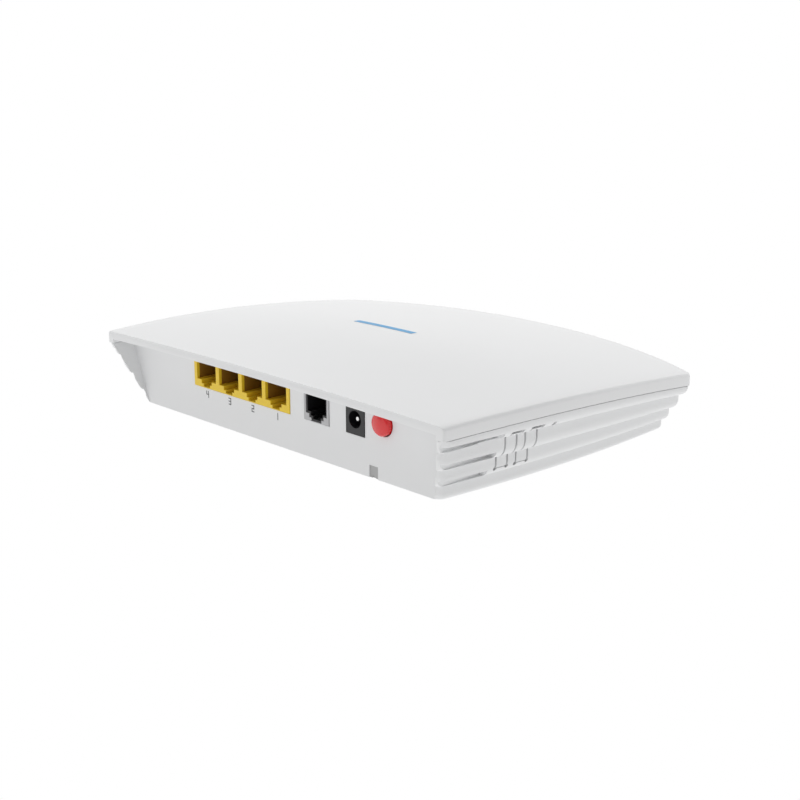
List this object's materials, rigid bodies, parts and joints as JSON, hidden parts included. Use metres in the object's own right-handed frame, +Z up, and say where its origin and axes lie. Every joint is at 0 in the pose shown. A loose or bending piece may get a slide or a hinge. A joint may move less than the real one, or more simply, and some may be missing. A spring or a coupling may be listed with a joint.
{
  "type": "optical network terminal",
  "caption": "Low white optical network terminal with a domed cover, ridged sides, rear network, phone and power sockets, a red power button and two side push tongues.",
  "frame": {"origin": "on the ground, under the middle of the casing", "axes": "+Z up; -Y is the rear, where the sockets are; +Y is the bowed front; +X is the side with the push tongues"},
  "size_m": [0.1964, 0.1474, 0.0338],
  "materials": {
    "cover_plastic": "satin white moulded plastic",
    "base_plastic": "fine-textured white moulded plastic",
    "foot_rubber": "matt grey rubber",
    "plug_grey": "soft grey rubber",
    "screw_steel": "zinc-plated steel",
    "board_laminate": "green solder mask",
    "lan_yellow": "moulded yellow plastic",
    "contact_gold": "gold-plated spring wire",
    "phone_grey": "moulded light grey plastic",
    "black_plastic": "moulded black plastic",
    "bright_metal": "bright tinned metal",
    "white_nylon": "natural nylon and ceramic",
    "button_red": "glossy red plastic",
    "optic_green": "moulded green plastic",
    "chip_black": "moulded epoxy",
    "pad_blue": "soft thermal pad",
    "sink_aluminium": "extruded, as cut",
    "can_blue": "sleeved aluminium can",
    "ferrite_grey": "sintered ferrite",
    "led_lens": "clear epoxy lens",
    "clear_acrylic": "clear acrylic",
    "cable_black": "thin coaxial lead jacket"
  },
  "bodies": {
    "casing": {"top_cover": "cover_plastic", "base_tray": "base_plastic", "rubber_feet": "foot_rubber", "case_screws": "screw_steel", "main_board": "board_laminate", "board_screws": "screw_steel", "lan_jack_housing": "lan_yellow", "lan_contacts": "contact_gold", "phone_jack_housing": "phone_grey", "phone_jack_insert": "black_plastic", "phone_contacts": "contact_gold", "power_jack_housing": "black_plastic", "power_jack_pin": "bright_metal", "power_jack_spring": "bright_metal", "power_switch_body": "black_plastic", "wps_switch_body": "black_plastic", "wifi_switch_body": "black_plastic", "reset_switch_body": "black_plastic", "optical_receptacle": "optic_green", "optical_sleeve": "white_nylon", "optical_transceiver": "bright_metal", "fibre_plug": "plug_grey", "main_processor": "chip_black", "thermal_pad": "pad_blue", "heat_sink": "sink_aluminium", "memory_chip": "chip_black", "flash_chip": "chip_black", "wifi_shield": "bright_metal", "phone_line_chip": "chip_black", "lan_transformers": "chip_black", "power_capacitors": "can_blue", "power_inductor": "ferrite_grey", "clock_crystal": "bright_metal", "status_leds": "led_lens", "light_guide": "clear_acrylic", "antenna_left": "bright_metal", "antenna_right": "bright_metal", "antenna_cables": "cable_black"},
    "power_key": {"power_button": "button_red", "power_switch_plunger": "white_nylon"},
    "wps_tongue": {"wps_button": "base_plastic"},
    "wps_plunger": {"wps_switch_plunger": "white_nylon"},
    "wifi_tongue": {"wifi_button": "base_plastic"},
    "wifi_plunger": {"wifi_switch_plunger": "white_nylon"},
    "reset_plunger": {"reset_switch_plunger": "white_nylon"}
  },
  "joints": [
    {"name": "power_push", "type": "slide", "parent": "casing", "child": "power_key", "axis": [0, 1, 0], "range_m": [0, 0.002], "stiffness_N_per_m": 400},
    {"name": "wps_press", "type": "hinge", "parent": "casing", "child": "wps_tongue", "pos_m": [0.08772, -0.04117, 0.0093], "axis": [0, -1, 0], "range_deg": [0, 2.02], "stiffness_Nm_per_rad": 0.4},
    {"name": "wps_switch_travel", "type": "slide", "parent": "casing", "child": "wps_plunger", "axis": [-1, 0, 0], "range_m": [0, 0.0004]},
    {"name": "wifi_press", "type": "hinge", "parent": "casing", "child": "wifi_tongue", "pos_m": [0.08818, -0.03182, 0.0093], "axis": [0, -1, 0], "range_deg": [0, 2.02], "stiffness_Nm_per_rad": 0.4},
    {"name": "wifi_switch_travel", "type": "slide", "parent": "casing", "child": "wifi_plunger", "axis": [-1, 0, 0], "range_m": [0, 0.0004]},
    {"name": "reset_travel", "type": "slide", "parent": "casing", "child": "reset_plunger", "axis": [-1, 0, 0], "range_m": [0, 0.0003], "stiffness_N_per_m": 1000}
  ],
  "couplings": [
    {"joint": "wps_switch_travel", "follows": "wps_press", "m_per_rad": 0.0085},
    {"joint": "wifi_switch_travel", "follows": "wifi_press", "m_per_rad": 0.0085}
  ]
}
